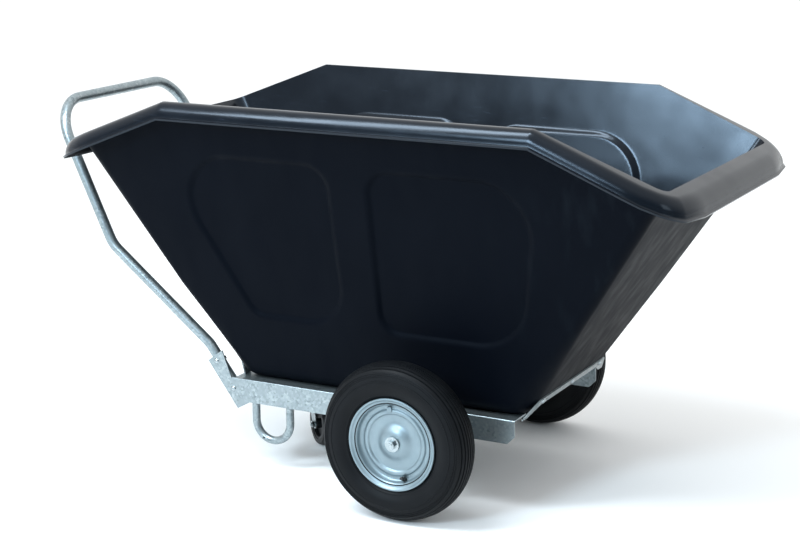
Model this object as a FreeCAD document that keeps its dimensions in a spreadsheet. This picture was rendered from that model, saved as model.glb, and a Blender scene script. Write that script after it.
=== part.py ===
import FreeCAD, Part
import math
import os
import re
import Sketcher
from FreeCAD import Placement, Rotation, Vector

# A two-wheeled garden cart. X points forward, Y to the left, Z up, the ground is Z = 0, and the
# origin is below the middle of the cart. Lengths along X in the sheet are measured from the main axle.

doc = FreeCAD.newDocument("garden_cart")
sheet = doc.addObject("Spreadsheet::Sheet", "Sizes")

sizes = {
    # the whole cart
    "rear_reach": 1128.0,
    "clearance": 0.3,
    "running_clearance": 0.05,
    # main wheels
    "wheel_diameter": 400.0,
    "tyre_width": 97.0,
    "track": 844.0,
    "tread_crown": 15.0,
    "tread_half_width": 40.0,
    "tyre_wall": 7.5,
    "widest_radius": 150.0,
    "bead_radius": 101.8,
    "tube_wall": 3.0,
    "rim_flange_radius": 117.0,
    "rim_seat_half_width": 33.3,
    "rim_lip_reach": 38.5,
    "rim_sheet": 2.5,
    "dish_depth": 16.5,
    "ring_outer_radius": 84.0,
    "ring_inner_radius": 72.0,
    "ring_rise": 4.0,
    "dome_radius": 42.0,
    "dome_shoulder": 0.55,
    "valve_radius": 4.0,
    "valve_circle": 94.5,
    "valve_lean": 23.5,
    "valve_angle": -73.0,
    "valve_root": 9.0,
    "valve_sink": 6.0,
    "valve_length": 44.0,
    "collar_start": 28.5,
    "collar_length": 8.0,
    "collar_rise": 1.5,
    # hub and axle
    "axle_radius": 10.0,
    "hub_half_length": 29.0,
    "hub_wall": 4.0,
    "bush_wall": 3.5,
    "bush_flange": 2.0,
    "bush_length": 20.0,
    "axle_washer_radius": 19.0,
    "axle_washer_thickness": 3.0,
    "axle_stub_radius": 6.0,
    "axle_nut_flats": 19.0,
    "axle_nut_height": 9.0,
    "axle_end_reach": 2.0,
    "spacer_wall": 3.2,
    # rails
    "rail_half_width": 266.0,
    "rail_sheet": 4.0,
    "rail_height": 62.0,
    "rail_above_axle": 39.0,
    "rail_front": 238.0,
    "rail_end_chamfer": 19.0,
    "rail_flange": 70.0,
    "rail_bend": 3.5,
    "flange_rear": -574.0,
    # the slanted plate at the rear of each rail, measured from its lower bolt
    "plate_bolt_x": -577.0,
    "plate_bolt_drop": 31.0,
    "plate_slope": 53.5,
    "bolt_pitch": 86.0,
    "plate_back": 21.0,
    "plate_width": 54.0,
    "plate_over": 15.0,
    "plate_under": 49.0,
    "plate_root_x": -583.0,
    "plate_foot_x": -527.0,
    # handle
    "handle_radius": 14.0,
    "handle_wall": 2.5,
    "handle_end_under": 40.0,
    "handle_end_over": 51.0,
    "handle_knee_x": -940.0,
    "handle_knee_height": 568.0,
    "handle_half_width": 280.0,
    "handle_height": 940.0,
    "handle_low_bend": 60.0,
    "handle_knee_bend": 95.0,
    "handle_top_bend": 107.0,
    # tub
    "tub_wall": 5.0,
    "floor_half_width": 240.0,
    "floor_front": 252.0,
    "floor_rear": -562.0,
    "side_lean": 12.7,
    "front_slope": 57.0,
    "rear_slope": 59.5,
    "floor_corner_radius": 48.0,
    "rim_corner_radius": 120.0,
    "floor_edge_radius": 34.0,
    "rim_height": 987.0,
    "rim_break_front": 344.0,
    "rim_break_rear": -669.0,
    "rim_front_height": 850.0,
    "rim_rear_height": 862.0,
    "rim_front_x": 677.0,
    "rim_rear_x": -990.0,
    "lip_half_width": 440.0,
    "lip_reach": 35.0,
    "lip_depth": 40.0,
    "lip_roll": 26.0,
    "lip_flare": 5.0,
    "panel_depth": 10.0,
    # straps on the foot of the front and rear walls
    "strap_thickness": 4.0,
    "strap_low": 30.0,
    "strap_width": 26.0,
    "strap_half_width": 205.0,
    "strap_bolt_spread": 185.0,
    "front_leg_inner": 232.0,
    "front_leg_outer": 260.0,
    "rear_leg_inner": 198.0,
    "rear_leg_outer": 226.0,
    "strap_leg_top": 180.0,
    # small bolts, nuts and washers
    "bolt_radius": 4.0,
    "bolt_hole_radius": 4.3,
    "bolt_head_radius": 8.0,
    "bolt_head_height": 4.6,
    "nut_flats": 13.0,
    "nut_height": 6.5,
    "washer_radius": 12.0,
    "washer_thickness": 1.8,
    "bolt_end_reach": 3.0,
    # foot loops
    "loop_radius": 10.5,
    "loop_wall": 2.0,
    "loop_rear_x": -516.0,
    "loop_front_x": -412.0,
    "loop_bottom": 67.0,
    "loop_top": 208.0,
    "drain_radius": 2.6,
    "drain_lean": 28.0,
    # castor
    "castor_x": -476.0,
    "castor_heading": -40.0,
    "castor_trail": 40.0,
    "castor_wheel_diameter": 125.0,
    "castor_tyre_width": 37.0,
    "castor_core_radius": 44.0,
    "core_hub_wall": 7.0,
    "core_rim_wall": 6.0,
    "castor_tread_drop": 6.5,
    "castor_plate_thickness": 3.5,
    "castor_plate_length": 56.0,
    "castor_plate_width": 92.0,
    "castor_bolt_spread_x": 34.0,
    "castor_bolt_spread_y": 74.0,
    "castor_bolt_head": 6.5,
    "crossmember_front": -425.0,
    "crossmember_rear": -504.5,
    "crossmember_sheet": 3.0,
    "crossmember_depth": 28.0,
    "race_radius": 24.0,
    "race_depth": 6.0,
    "ball_radius": 2.4,
    "ball_circle": 18.0,
    "ball_count": 16.0,
    "kingpin_radius": 6.0,
    "kingpin_head": 11.0,
    "kingpin_head_height": 3.0,
    "fork_sheet": 3.0,
    "fork_half_gap": 22.5,
    "fork_top_front": 30.0,
    "fork_top_rear": 27.0,
    "fork_shoulder": 22.0,
    "fork_boss": 15.0,
    "castor_axle_radius": 5.0,
    "castor_sleeve_wall": 2.0,
    "castor_nut_flats": 17.0,
    "castor_nut_height": 8.0,
}

# Places and sizes that follow from the ones above.
derived = {
    "front_reach": "rim_front_x + lip_reach + lip_flare",
    "axle_x": "(rear_reach - front_reach) / 2",
    "axle_height": "wheel_diameter / 2",
    "wheel_y": "track / 2",
    "rail_top": "axle_height + rail_above_axle",
    "rail_bottom": "rail_top - rail_height",
    "rail_inside": "rail_half_width - rail_sheet",
    "hub_radius": "axle_radius + running_clearance + bush_wall + hub_wall",
    "bush_radius": "axle_radius + running_clearance + bush_wall",
    "hub_end": "wheel_y + hub_half_length + bush_flange",
    "hub_start": "wheel_y - hub_half_length - bush_flange",
    "washer_seat": "hub_end + clearance",
    "nut_seat": "washer_seat + axle_washer_thickness",
    "axle_end": "nut_seat + axle_nut_height + axle_end_reach",
    "plate_bolt_height": "rail_top - plate_bolt_drop",
    "handle_low_y": "rail_inside - handle_radius",
    "handle_x": "handle_radius - rear_reach",
    "lip_front_x": "rim_front_x + lip_reach",
    "lip_rear_x": "rim_rear_x - lip_reach",
    "castor_axle_height": "castor_wheel_diameter / 2",
    "castor_plate_bottom": "rail_bottom - castor_plate_thickness",
    "race_bottom": "castor_plate_bottom - race_depth",
    "fork_top": "race_bottom - 2 * clearance",
    "fork_width": "2 * fork_half_gap + 2 * fork_sheet",
    "castor_sleeve_radius": "castor_axle_radius + castor_sleeve_wall",
}

for row, (alias, number) in enumerate(sizes.items(), start=1):
    sheet.set("A%d" % row, alias)
    sheet.set("B%d" % row, str(number))
    sheet.setAlias("B%d" % row, alias)
doc.recompute()

subparts = []


def bind(formula):
    """Rewrite a formula so that each size name points at its cell."""
    def cell(match):
        word = match.group()
        if word in sizes:
            return "Sizes." + word
        if word in derived:
            return "(" + bind(derived[word]) + ")"
        return word
    return re.sub(r"[a-z_]+", cell, str(formula))


def value(formula):
    """The number that a formula gives now."""
    result = sheet.evalExpression(bind(formula))
    return float(getattr(result, "Value", result))


def place(item, x="0", y="0", z="0", rotation=Rotation()):
    """Put an object at a point given by three formulas."""
    item.Placement = Placement(Vector(value(x), value(y), value(z)), rotation)
    item.setExpression(".Placement.Base.x", bind(x))
    item.setExpression(".Placement.Base.y", bind(y))
    item.setExpression(".Placement.Base.z", bind(z))
    return item


def keep(item, label):
    """Name an object as a sub-part of its own."""
    item.Label = label
    subparts.append(item)
    return item


# Sketches ------------------------------------------------------------------------------------


def draw_circle(sketch, x, y, radius):
    """A round hole or disc, held by its centre and radius."""
    centre = Vector(value(x), value(y), 0)
    circle = sketch.addGeometry(Part.Circle(centre, Vector(0, 0, 1), value(radius)))
    hold_point(sketch, circle, 3, x, y)
    index = sketch.addConstraint(Sketcher.Constraint("Radius", circle, value(radius)))
    sketch.setExpression("Constraints[%d]" % index, bind(radius))


def hold_point(sketch, geometry, end, x, y):
    """Hold one point of the sketch at two formulas from the origin."""
    for kind, formula in (("DistanceX", x), ("DistanceY", y)):
        rule = Sketcher.Constraint(kind, -1, 1, geometry, end, value(formula))
        sketch.setExpression("Constraints[%d]" % sketch.addConstraint(rule), bind(formula))


def arc_between(start, finish, radius):
    """The short arc from start to finish; a positive radius bulges to the right of the way."""
    chord = finish - start
    middle = (start + finish) / 2
    right = Vector(chord.y, -chord.x, 0).normalize()
    bulge = abs(radius) - math.sqrt(max(radius ** 2 - (chord.Length / 2) ** 2, 0))
    top = middle + right * math.copysign(bulge, radius)
    if radius > 0:
        return Part.Arc(start, top, finish), 1, 2
    return Part.Arc(finish, top, start), 2, 1


def draw_loop(sketch, corners):
    """A closed outline of (x, y) corners; a third value makes the edge into a corner an arc."""
    points = [Vector(value(corner[0]), value(corner[1]), 0) for corner in corners]
    edges = []
    for index, corner in enumerate(corners):
        start = points[index - 1]
        if len(corner) == 3:
            curve, first, last = arc_between(start, points[index], value(corner[2]))
            edge = sketch.addGeometry(curve)
            rule = Sketcher.Constraint("Radius", edge, abs(value(corner[2])))
            cell = sketch.addConstraint(rule)
            sketch.setExpression("Constraints[%d]" % cell, "abs(%s)" % bind(corner[2]))
        else:
            edge = sketch.addGeometry(Part.LineSegment(start, points[index]))
            first, last = 1, 2
        edges.append((edge, first, last))
    for index, corner in enumerate(corners):
        edge, first, last = edges[index]
        following, following_first = edges[(index + 1) % len(edges)][:2]
        rule = Sketcher.Constraint("Coincident", edge, last, following, following_first)
        sketch.addConstraint(rule)
        hold_point(sketch, edge, last, corner[0], corner[1])


def new_sketch(body, name, plane, offset, loops, circles=()):
    """A sketch on one of the body's own planes, moved along that plane's normal by a formula."""
    sketch = body.newObject("Sketcher::SketchObject", name)
    support = [item for item in body.Origin.OriginFeatures if item.Role == plane][0]
    sketch.AttachmentSupport = [(support, "")]
    sketch.MapMode = "FlatFace"
    sketch.setExpression(".AttachmentOffset.Base.z", bind(offset))
    for corners in loops:
        draw_loop(sketch, corners)
    for circle in circles:
        draw_circle(sketch, *circle)
    sketch.Visibility = False
    return sketch


# Bodies --------------------------------------------------------------------------------------


def new_body(name):
    body = doc.addObject("PartDesign::Body", name)
    body.Label = name
    return body


def turned(name, corners, hollow=None):
    """A body of revolution about its own Z, from (radius, height) corners."""
    body = new_body(name)
    loops = [corners] if hollow is None else [corners, hollow]
    sketch = new_sketch(body, name + "_section", "XZ_Plane", "0", loops)
    feature = body.newObject("PartDesign::Revolution", name + "_turn")
    feature.Profile = sketch
    feature.ReferenceAxis = (sketch, ["V_Axis"])
    feature.Angle = 360
    return body


def pad(body, name, plane, offset, loops, length, circles=(), midplane=False):
    """Add a straight extrusion to a body."""
    feature = body.newObject("PartDesign::Pad", name)
    feature.Profile = new_sketch(body, name + "_outline", plane, offset, loops, circles)
    feature.Midplane = midplane
    feature.setExpression("Length", bind(length))
    return feature


def drill(body, name, plane, circles, loops=()):
    """Cut outlines right through a body, both ways from the plane."""
    feature = body.newObject("PartDesign::Pocket", name)
    feature.Profile = new_sketch(body, name + "_outline", plane, "0", loops, circles)
    feature.Midplane = True
    feature.Type = "ThroughAll"
    return feature


def fillet(body, name, radius, chosen):
    """Round the edges of the body's tip that the test picks."""
    doc.recompute()
    base = body.Tip
    names = ["Edge%d" % (index + 1) for index, edge in enumerate(base.Shape.Edges) if chosen(edge)]
    feature = body.newObject("PartDesign::Fillet", name)
    feature.Base = (base, names)
    feature.setExpression("Radius", bind(radius))
    return feature


def plate(name, loops, thickness, circles=(), plane="XY_Plane"):
    body = new_body(name)
    pad(body, name + "_pad", plane, "0", loops, thickness, circles)
    return body


def hexagon(flats):
    """The six corners of a nut, from its size across flats."""
    corners = []
    for step in range(6):
        angle = math.radians(60 * step)
        reach = "%s / sqrt(3)" % flats
        corners.append(("%r * %s" % (math.cos(angle), reach), "%r * %s" % (math.sin(angle), reach)))
    return corners


def nut(name, flats, height, hole):
    return plate(name, [hexagon(flats)], height, [("0", "0", hole)])


def washer(name, radius, thickness, hole):
    return plate(name, [], thickness, [("0", "0", radius), ("0", "0", hole)])


def round_head_bolt(name, radius, length, head_radius, head_height):
    """A domed bolt that hangs down from Z = 0, its head above."""
    dome = "((%s) ^ 2 + (%s) ^ 2) / (2 * (%s))" % (head_radius, head_height, head_height)
    shank = "-(%s)" % length
    corners = [("0", shank), (radius, shank), (radius, "0"), (head_radius, "0"), ("0", head_height, dome)]
    return turned(name, corners)


def group(label, members):
    """Identical pieces that share one node as separate solids."""
    item = doc.addObject("Part::Compound", label)
    item.Links = members
    return keep(item, label)


def mirrored(label, source):
    """The same piece on the other side of the cart."""
    item = doc.addObject("Part::Mirroring", label)
    item.Source = source
    item.Normal = Vector(0, 1, 0)
    return item


def both_sides(name, source):
    """Name a left piece and make its right-hand twin."""
    keep(source, name + "_left")
    keep(mirrored(name + "_right", source), name + "_right")


def cut(label, base, tool):
    item = doc.addObject("Part::Cut", label)
    item.Base = base
    item.Tool = tool
    return item


def cylinder(name, radius, height):
    item = doc.addObject("Part::Cylinder", name)
    item.setExpression("Radius", bind(radius))
    item.setExpression("Height", bind(height))
    return item


ALONG_LEFT = Rotation(Vector(1, 0, 0), -90)
ALONG_RIGHT = Rotation(Vector(1, 0, 0), 90)
# how near two places have to be to count as one
TOUCH = 0.01


# Main wheels ---------------------------------------------------------------------------------
# Each wheel is drawn about its own axis, Z pointing away from the cart, then stood up on the axle.


def tyre_section(inset, foot_radius, foot_half_width):
    """Tyre outline from one foot over the tread to the other, set in by a wall."""
    side = "tyre_width / 2 - (%s)" % inset
    shoulder = "wheel_diameter / 2 - tread_crown - (%s)" % inset
    edge = "tread_half_width - (%s) * 0.9" % inset
    rise = "((%s) - (%s))" % (side, foot_half_width)
    lower = "(%s ^ 2 + (widest_radius - (%s)) ^ 2) / (2 * %s)" % (rise, foot_radius, rise)
    fall = "((%s) - (%s))" % (side, edge)
    upper = "(%s ^ 2 + (widest_radius - (%s)) ^ 2) / (2 * %s)" % (fall, shoulder, fall)
    crown = "((%s) ^ 2 + tread_crown ^ 2) / (2 * tread_crown)" % edge
    return [
        (foot_radius, foot_half_width),
        ("widest_radius", side, "-(%s)" % lower),
        (shoulder, edge, "-(%s)" % upper),
        (shoulder, "-(%s)" % edge, "-(%s)" % crown),
        ("widest_radius", "-(%s)" % side, "-(%s)" % upper),
        (foot_radius, "-(%s)" % foot_half_width, "-(%s)" % lower),
    ]


def reversed_section(corners):
    """The same outline walked the other way round, its arcs turned with it."""
    result = []
    for index in range(len(corners) - 1, -1, -1):
        corner = corners[index][:2]
        if index + 1 < len(corners) and len(corners[index + 1]) == 3:
            corner = corner + ("-(%s)" % corners[index + 1][2],)
        result.append(corner)
    return result


def on_wheel(item, z="0", rotation=Rotation()):
    """Stand a wheel piece on the left end of the axle with its valve where it stops."""
    angle = math.radians(value("valve_angle"))
    spoke = Vector(math.cos(angle), 0, math.sin(angle))
    out = Vector(0, 1, 0)
    upright = Rotation(spoke, out.cross(spoke), out, "ZXY")
    return place(item, "axle_x", "wheel_y + (%s)" % z, "axle_height", upright * rotation)


tyre_outside = tyre_section("0", "rim_flange_radius + clearance", "rim_seat_half_width - clearance")
tyre_inside = tyre_section("tyre_wall", "bead_radius + 11", "rim_seat_half_width - 9")
heel = "rim_seat_half_width - clearance"
toe = "rim_seat_half_width - 12"
tyre = turned("tyre", [
    *tyre_outside,
    ("bead_radius", "-(%s)" % heel),
    ("bead_radius", "-(%s)" % toe),
    *reversed_section(tyre_inside),
    ("bead_radius", toe),
    ("bead_radius", heel),
])
both_sides("tyre", on_wheel(tyre))

tube_inset = "tyre_wall + clearance"
tube = turned(
    "inner_tube",
    tyre_section(tube_inset, "bead_radius + 12", "rim_seat_half_width - 10"),
    tyre_section(tube_inset + " + tube_wall", "bead_radius + 12 + tube_wall", "rim_seat_half_width - 14"),
)
both_sides("inner_tube", on_wheel(tube))

seat = "bead_radius - clearance"
disc_back = "dish_depth - rim_sheet"
flange_face = "rim_seat_half_width + rim_sheet"
lip_inside = "rim_flange_radius - rim_sheet"
seat_inside = seat + " - rim_sheet"
disc = turned("rim_disc", [
    (seat, disc_back),
    (seat, "rim_seat_half_width"),
    ("rim_flange_radius", "rim_seat_half_width"),
    ("rim_flange_radius", "rim_lip_reach"),
    (lip_inside, "rim_lip_reach"),
    (lip_inside, flange_face),
    (seat_inside, flange_face),
    (seat_inside, "dish_depth"),
    ("ring_outer_radius", "dish_depth"),
    ("ring_outer_radius - 2", "dish_depth + ring_rise"),
    ("ring_inner_radius + 2", "dish_depth + ring_rise"),
    ("ring_inner_radius", "dish_depth"),
    ("dome_radius + 4", "dish_depth"),
    ("dome_radius - 4", "dish_depth + dome_shoulder * (hub_half_length - dish_depth)"),
    ("hub_radius + 2", "hub_half_length"),
    ("hub_radius", "hub_half_length"),
    ("hub_radius", "hub_half_length - rim_sheet"),
    ("hub_radius + 2", "hub_half_length - rim_sheet"),
    ("dome_radius - 5", "dish_depth + dome_shoulder * (hub_half_length - dish_depth) - rim_sheet"),
    ("dome_radius + 3", disc_back),
    ("ring_inner_radius + 1", disc_back),
    ("ring_inner_radius + 3", disc_back + " + ring_rise"),
    ("ring_outer_radius - 3", disc_back + " + ring_rise"),
    ("ring_outer_radius - 1", disc_back),
])
barrel = turned("rim_barrel", [
    (seat, disc_back),
    (seat, "-rim_seat_half_width"),
    ("rim_flange_radius", "-rim_seat_half_width"),
    ("rim_flange_radius", "-rim_lip_reach"),
    (lip_inside, "-rim_lip_reach"),
    (lip_inside, "-(%s)" % flange_face),
    (seat_inside, "-(%s)" % flange_face),
    (seat_inside, disc_back + " - rim_sheet"),
    ("ring_outer_radius - 2", disc_back + " - rim_sheet"),
    ("hub_radius + 8", "-hub_half_length"),
    ("hub_radius", "-hub_half_length"),
    ("hub_radius", "rim_sheet - hub_half_length"),
    ("hub_radius + 10", "rim_sheet - hub_half_length"),
    ("ring_outer_radius", disc_back),
])


def valve_line(name, radius, length):
    """A cylinder along the valve's slanting line, from inside the rim to its tip."""
    return place(cylinder(name, radius, length), "valve_circle + valve_root", "0", "-valve_sink", valve_turn)


# the drill for the disc runs out through its face, and the one for the barrel stops short of the disc
valve_turn = Rotation(Vector(0, 1, 0), -value("valve_lean"))
valve_hole = "valve_radius + clearance"
disc_hole = valve_line("disc_hole", valve_hole, "valve_length + 2 * collar_length")
barrel_hole = valve_line("barrel_hole", valve_hole, "collar_start")
both_sides("rim_disc", on_wheel(cut("rim_disc_drilled", disc, disc_hole)))
both_sides("rim_barrel", on_wheel(cut("rim_barrel_drilled", barrel, barrel_hole)))

valve_body = valve_line("valve_stem", "valve_radius", "valve_length")
valve_collar = place(
    cylinder("valve_collar", "valve_radius + collar_rise", "collar_length"),
    "valve_circle + valve_root - collar_start * sin(valve_lean * 1 deg)",
    "0",
    "collar_start * cos(valve_lean * 1 deg) - valve_sink",
    valve_turn,
)
valve = doc.addObject("Part::Fuse", "valve_whole")
valve.Base = valve_body
valve.Tool = valve_collar
both_sides("valve", on_wheel(valve))

hub = turned("hub", [
    ("bush_radius", "-hub_half_length"),
    ("hub_radius", "-hub_half_length"),
    ("hub_radius", "hub_half_length"),
    ("bush_radius", "hub_half_length"),
])
both_sides("hub", on_wheel(hub))


def bush(name):
    """A flanged plain bush, its flange face at Z = 0 and its sleeve pointing down."""
    bore = "axle_radius + running_clearance"
    return turned(name, [
        (bore, "0"),
        ("hub_radius", "0"),
        ("hub_radius", "-bush_flange"),
        ("bush_radius", "-bush_flange"),
        ("bush_radius", "-bush_length"),
        (bore, "-bush_length"),
    ])


outer_bush = place(bush("outer_bush"), "axle_x", "hub_end", "axle_height", ALONG_LEFT)
inner_bush = place(bush("inner_bush"), "axle_x", "hub_start", "axle_height", ALONG_RIGHT)
group("wheel_bushes_left", [outer_bush, inner_bush])
outer_bush_right = mirrored("outer_bush_right", outer_bush)
inner_bush_right = mirrored("inner_bush_right", inner_bush)
group("wheel_bushes_right", [outer_bush_right, inner_bush_right])

# Axle and what holds the wheels on it ------------------------------------------------------------

axle = turned("axle", [
    ("0", "-(axle_end)"),
    ("axle_stub_radius", "-(axle_end)"),
    ("axle_stub_radius", "-(washer_seat)"),
    ("axle_radius", "-(washer_seat)"),
    ("axle_radius", "washer_seat"),
    ("axle_stub_radius", "washer_seat"),
    ("axle_stub_radius", "axle_end"),
    ("0", "axle_end"),
])
keep(place(axle, "axle_x", "0", "axle_height", ALONG_LEFT), "axle")


def pair(label, item, y):
    """A left piece of the axle and its right-hand twin in one node."""
    place(item, "axle_x", y, "axle_height", ALONG_LEFT)
    group(label, [item, mirrored(label + "_twin", item)])


spacer = washer("axle_spacer", "axle_radius + clearance + spacer_wall",
                "hub_start - clearance - rail_half_width", "axle_radius + clearance")
pair("axle_spacers", spacer, "rail_half_width")
axle_washer = washer(
    "axle_washer", "axle_washer_radius", "axle_washer_thickness", "axle_stub_radius + clearance"
)
pair("axle_washers", axle_washer, "washer_seat")
pair("axle_nuts", nut("axle_nut", "axle_nut_flats", "axle_nut_height", "axle_stub_radius"), "nut_seat")

# Rails ---------------------------------------------------------------------------------------


def up_plate(along, across):
    """A point of the slanted plate: up its slope from the lower bolt, and across it to the front."""
    level = "cos(plate_slope * 1 deg)"
    steep = "sin(plate_slope * 1 deg)"
    x = "plate_bolt_x - (%s) * %s + (%s) * %s" % (along, level, across, steep)
    z = "plate_bolt_height + (%s) * %s + (%s) * %s" % (along, steep, across, level)
    return x, z


rail = new_body("rail")
top_along = "bolt_pitch + plate_over"
pad(rail, "rail_web", "XZ_Plane", "-rail_half_width", [[
    ("rail_front", "rail_top"),
    ("rail_front", "rail_bottom + rail_end_chamfer"),
    ("rail_front - rail_end_chamfer", "rail_bottom"),
    ("plate_foot_x", "rail_bottom"),
    up_plate("-plate_under", "-plate_back"),
    up_plate(top_along, "-plate_back"),
    up_plate(top_along, "plate_width - plate_back"),
    ("plate_root_x", "rail_top"),
]], "rail_sheet")
pad(rail, "rail_top_flange", "XY_Plane", "rail_top - rail_sheet", [[
    ("rail_front", "rail_half_width"),
    ("flange_rear", "rail_half_width"),
    ("flange_rear", "rail_half_width - rail_flange"),
    ("rail_front", "rail_half_width - rail_flange"),
]], "rail_sheet")
drill(rail, "rail_holes", "XZ_Plane", [
    ("0", "axle_height", "axle_radius + clearance"),
    up_plate("0", "0") + ("bolt_hole_radius",),
    up_plate("bolt_pitch", "0") + ("bolt_hole_radius",),
])


def outer_bend(edge):
    """The edge between the rail's web and its top flange."""
    centre = edge.CenterOfMass
    on_outside = abs(centre.y - value("rail_half_width")) < TOUCH
    on_top = abs(centre.z - value("rail_top")) < TOUCH
    return on_outside and on_top and edge.Length > value("rail_height")


fillet(rail, "rail_bend", "rail_bend", outer_bend)
both_sides("rail", place(rail, "axle_x"))

# Bent tubes ----------------------------------------------------------------------------------


def bent_line(points, radii):
    """A wire of straight runs through the points, each inner corner rounded to its radius."""
    edges = []
    last = points[0]
    for index in range(1, len(points) - 1):
        corner = points[index]
        back = (points[index - 1] - corner).normalize()
        ahead = (points[index + 1] - corner).normalize()
        half_turn = (math.pi - back.getAngle(ahead)) / 2
        run = radii[index - 1] * math.tan(half_turn)
        arc_start = corner + back * run
        arc_end = corner + ahead * run
        inward = (back + ahead).normalize()
        middle = corner + inward * (radii[index - 1] / math.cos(half_turn) - radii[index - 1])
        edges.append(Part.LineSegment(last, arc_start).toShape())
        edges.append(Part.Arc(arc_start, middle, arc_end).toShape())
        last = arc_end
    edges.append(Part.LineSegment(last, points[-1]).toShape())
    return Part.Wire(edges)


def bent_tube(line, radius, wall):
    """A round tube along a wire."""
    start = line.Edges[0].valueAt(line.Edges[0].FirstParameter)
    way = line.Edges[0].tangentAt(line.Edges[0].FirstParameter)
    solids = []
    for size in (radius, radius - wall):
        ring = Part.Wire(Part.Circle(start, way, size).toShape())
        solids.append(line.makePipeShell([ring], True, False))
    return solids[0].cut(solids[1])


def tube_feature(label, shape):
    item = doc.addObject("Part::Feature", label)
    item.Shape = shape
    place(item, "axle_x")
    return item


def handle_point(x, y, z):
    return Vector(value(x), value(y), value(z))


low_x, low_z = up_plate("-handle_end_under", "0")
bend_x, bend_z = up_plate("bolt_pitch + handle_end_over", "0")
left_leg = [
    handle_point(low_x, "handle_low_y - clearance", low_z),
    handle_point(bend_x, "handle_low_y - clearance", bend_z),
    handle_point("handle_knee_x", "handle_half_width", "handle_knee_height"),
    handle_point("handle_x", "handle_half_width", "handle_height"),
]
right_leg = [Vector(point.x, -point.y, point.z) for point in reversed(left_leg)]
bends = [value("handle_low_bend"), value("handle_knee_bend"), value("handle_top_bend")]
handle_line = bent_line(left_leg + right_leg, bends + bends[::-1])
handle_shape = bent_tube(handle_line, value("handle_radius"), value("handle_wall"))
for along in ("0", "bolt_pitch"):
    hole_x, hole_z = up_plate(along, "0")
    foot = Vector(value(hole_x), -value("rail_half_width"), value(hole_z))
    bore = Part.makeCylinder(
        value("bolt_hole_radius"), 2 * value("rail_half_width"), foot, Vector(0, 1, 0)
    )
    handle_shape = handle_shape.cut(bore)
keep(tube_feature("handle", handle_shape), "handle")

loop_top = value("loop_top")
loop_y = value("rail_inside - clearance - loop_radius")
loop_bend = value("(loop_front_x - loop_rear_x) / 2")
loop_base = value("loop_bottom + loop_radius")
loop_line = Part.Wire([
    Part.LineSegment(
        Vector(value("loop_rear_x"), loop_y, loop_top),
        Vector(value("loop_rear_x"), loop_y, loop_base + loop_bend),
    ).toShape(),
    Part.Arc(
        Vector(value("loop_rear_x"), loop_y, loop_base + loop_bend),
        Vector(value("loop_rear_x") + loop_bend, loop_y, loop_base),
        Vector(value("loop_front_x"), loop_y, loop_base + loop_bend),
    ).toShape(),
    Part.LineSegment(
        Vector(value("loop_front_x"), loop_y, loop_base + loop_bend),
        Vector(value("loop_front_x"), loop_y, loop_top),
    ).toShape(),
])
loop_shape = bent_tube(loop_line, value("loop_radius"), value("loop_wall"))
drain_angle = math.radians(value("drain_lean"))
drain_x = value("loop_rear_x") + loop_bend * (1 - math.sin(drain_angle))
drain_z = loop_base + loop_bend * (1 - math.cos(drain_angle))
drain = Part.makeCylinder(
    value("drain_radius"), 2 * value("loop_radius"), Vector(drain_x, loop_y, drain_z), Vector(0, 1, 0)
)
loop_shape = loop_shape.cut(drain)
both_sides("foot_loop", tube_feature("foot_loop", loop_shape))

# Bolts that hold the handle --------------------------------------------------------------------

handle_bolts = []
handle_nuts = []
grip = "rail_half_width - (handle_low_y - clearance - handle_radius)"
for position, along in enumerate(("0", "bolt_pitch")):
    x, z = up_plate(along, "0")
    bolt = round_head_bolt("handle_bolt_%d" % position, "bolt_radius",
                           grip + " + nut_height + bolt_end_reach", "bolt_head_radius", "bolt_head_height")
    place(bolt, "axle_x + " + x, "rail_half_width", z, ALONG_LEFT)
    inner_nut = nut("handle_nut_%d" % position, "nut_flats", "nut_height", "bolt_radius")
    place(inner_nut, "axle_x + " + x, "handle_low_y - clearance - handle_radius", z, ALONG_RIGHT)
    handle_bolts += [bolt, mirrored("handle_bolt_%d_right" % position, bolt)]
    handle_nuts += [inner_nut, mirrored("handle_nut_%d_right" % position, inner_nut)]
group("handle_bolts", handle_bolts)
group("handle_nuts", handle_nuts)

# Tub -----------------------------------------------------------------------------------------
# The walls are the space between two leaning boxes with round corners, cut off at the rim's line.
# The rim is a flat ledge with a rolled edge that follows the same line.

# how far a cutting block runs past what it cuts
OVERRUN = 20


def section(height, inset):
    """The rounded rectangle of the tub's outside at a height, set in by a wall."""
    rise = height - value("rail_top")
    share = rise / value("rim_height - rail_top")
    lean = math.radians(value("side_lean"))
    front = math.radians(value("front_slope"))
    rear = math.radians(value("rear_slope"))
    half = value("floor_half_width") + rise * math.tan(lean) - inset / math.cos(lean)
    x_front = value("floor_front") + rise / math.tan(front) - inset / math.sin(front)
    x_rear = value("floor_rear") - rise / math.tan(rear) + inset / math.sin(rear)
    low, high = value("floor_corner_radius"), value("rim_corner_radius")
    return rounded_rectangle(x_rear, x_front, half, low + share * (high - low) - inset, height)


def rounded_rectangle(x_rear, x_front, half, radius, height):
    """A closed wire in a level plane."""
    turn = radius * (1 - math.sqrt(0.5))
    edges = []
    corners = [
        (x_front, half, -1, -1), (x_rear, half, 1, -1), (x_rear, -half, 1, 1), (x_front, -half, -1, 1),
    ]
    joints = []
    for index, (x, y, inward_x, inward_y) in enumerate(corners):
        along_x = Vector(x + inward_x * radius, y, height)
        along_y = Vector(x, y + inward_y * radius, height)
        middle = Vector(x + inward_x * turn, y + inward_y * turn, height)
        ends = (along_y, along_x) if index % 2 == 0 else (along_x, along_y)
        joints.append((ends[0], middle, ends[1]))
    for index, (first, middle, last) in enumerate(joints):
        edges.append(Part.Arc(first, middle, last).toShape())
        edges.append(Part.LineSegment(last, joints[(index + 1) % 4][0]).toShape())
    return Part.Wire(edges)


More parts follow.
